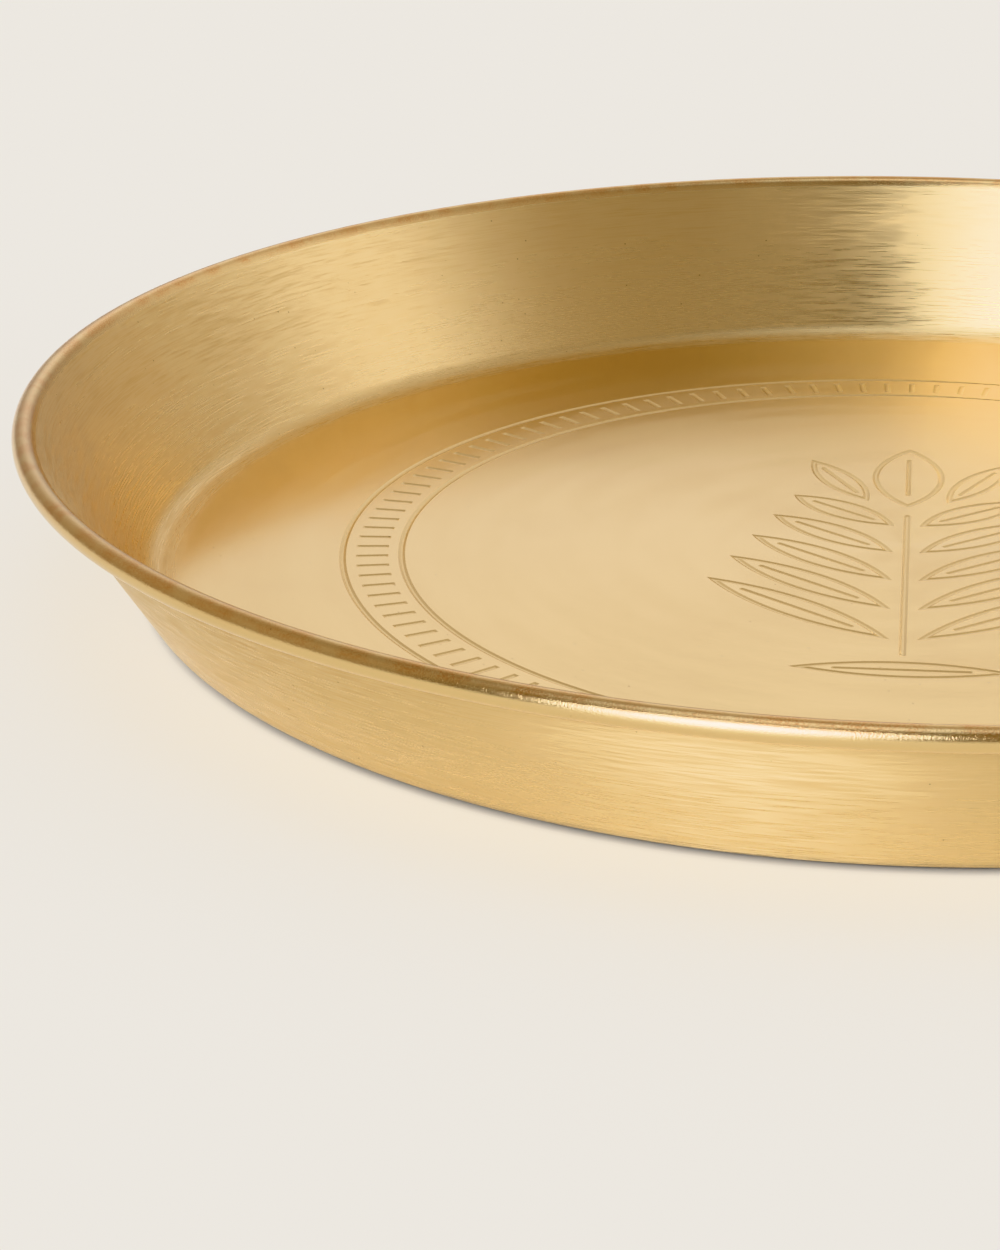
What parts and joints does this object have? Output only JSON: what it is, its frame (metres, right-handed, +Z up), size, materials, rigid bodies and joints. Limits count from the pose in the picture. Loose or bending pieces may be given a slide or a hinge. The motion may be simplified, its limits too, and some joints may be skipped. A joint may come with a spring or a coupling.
{
  "type": "round serving tray",
  "caption": "Round shallow tray of spun sheet brass with a flared wall, a wired bead rim and an etched border and leaf sprig on its floor.",
  "frame": {"origin": "centre of the flat underside, where the tray rests", "axes": "+Z up along the tray's axis, +Y the way the etched sprig grows, +X to its right"},
  "size_m": [0.254, 0.254, 0.025],
  "materials": {
    "satin_brass": "satin, brushed round the axis",
    "wire_brass": "drawn wire, dull"
  },
  "bodies": {
    "root": {"tray_pan": "satin_brass", "rim_wire": "wire_brass"}
  },
  "joints": []
}
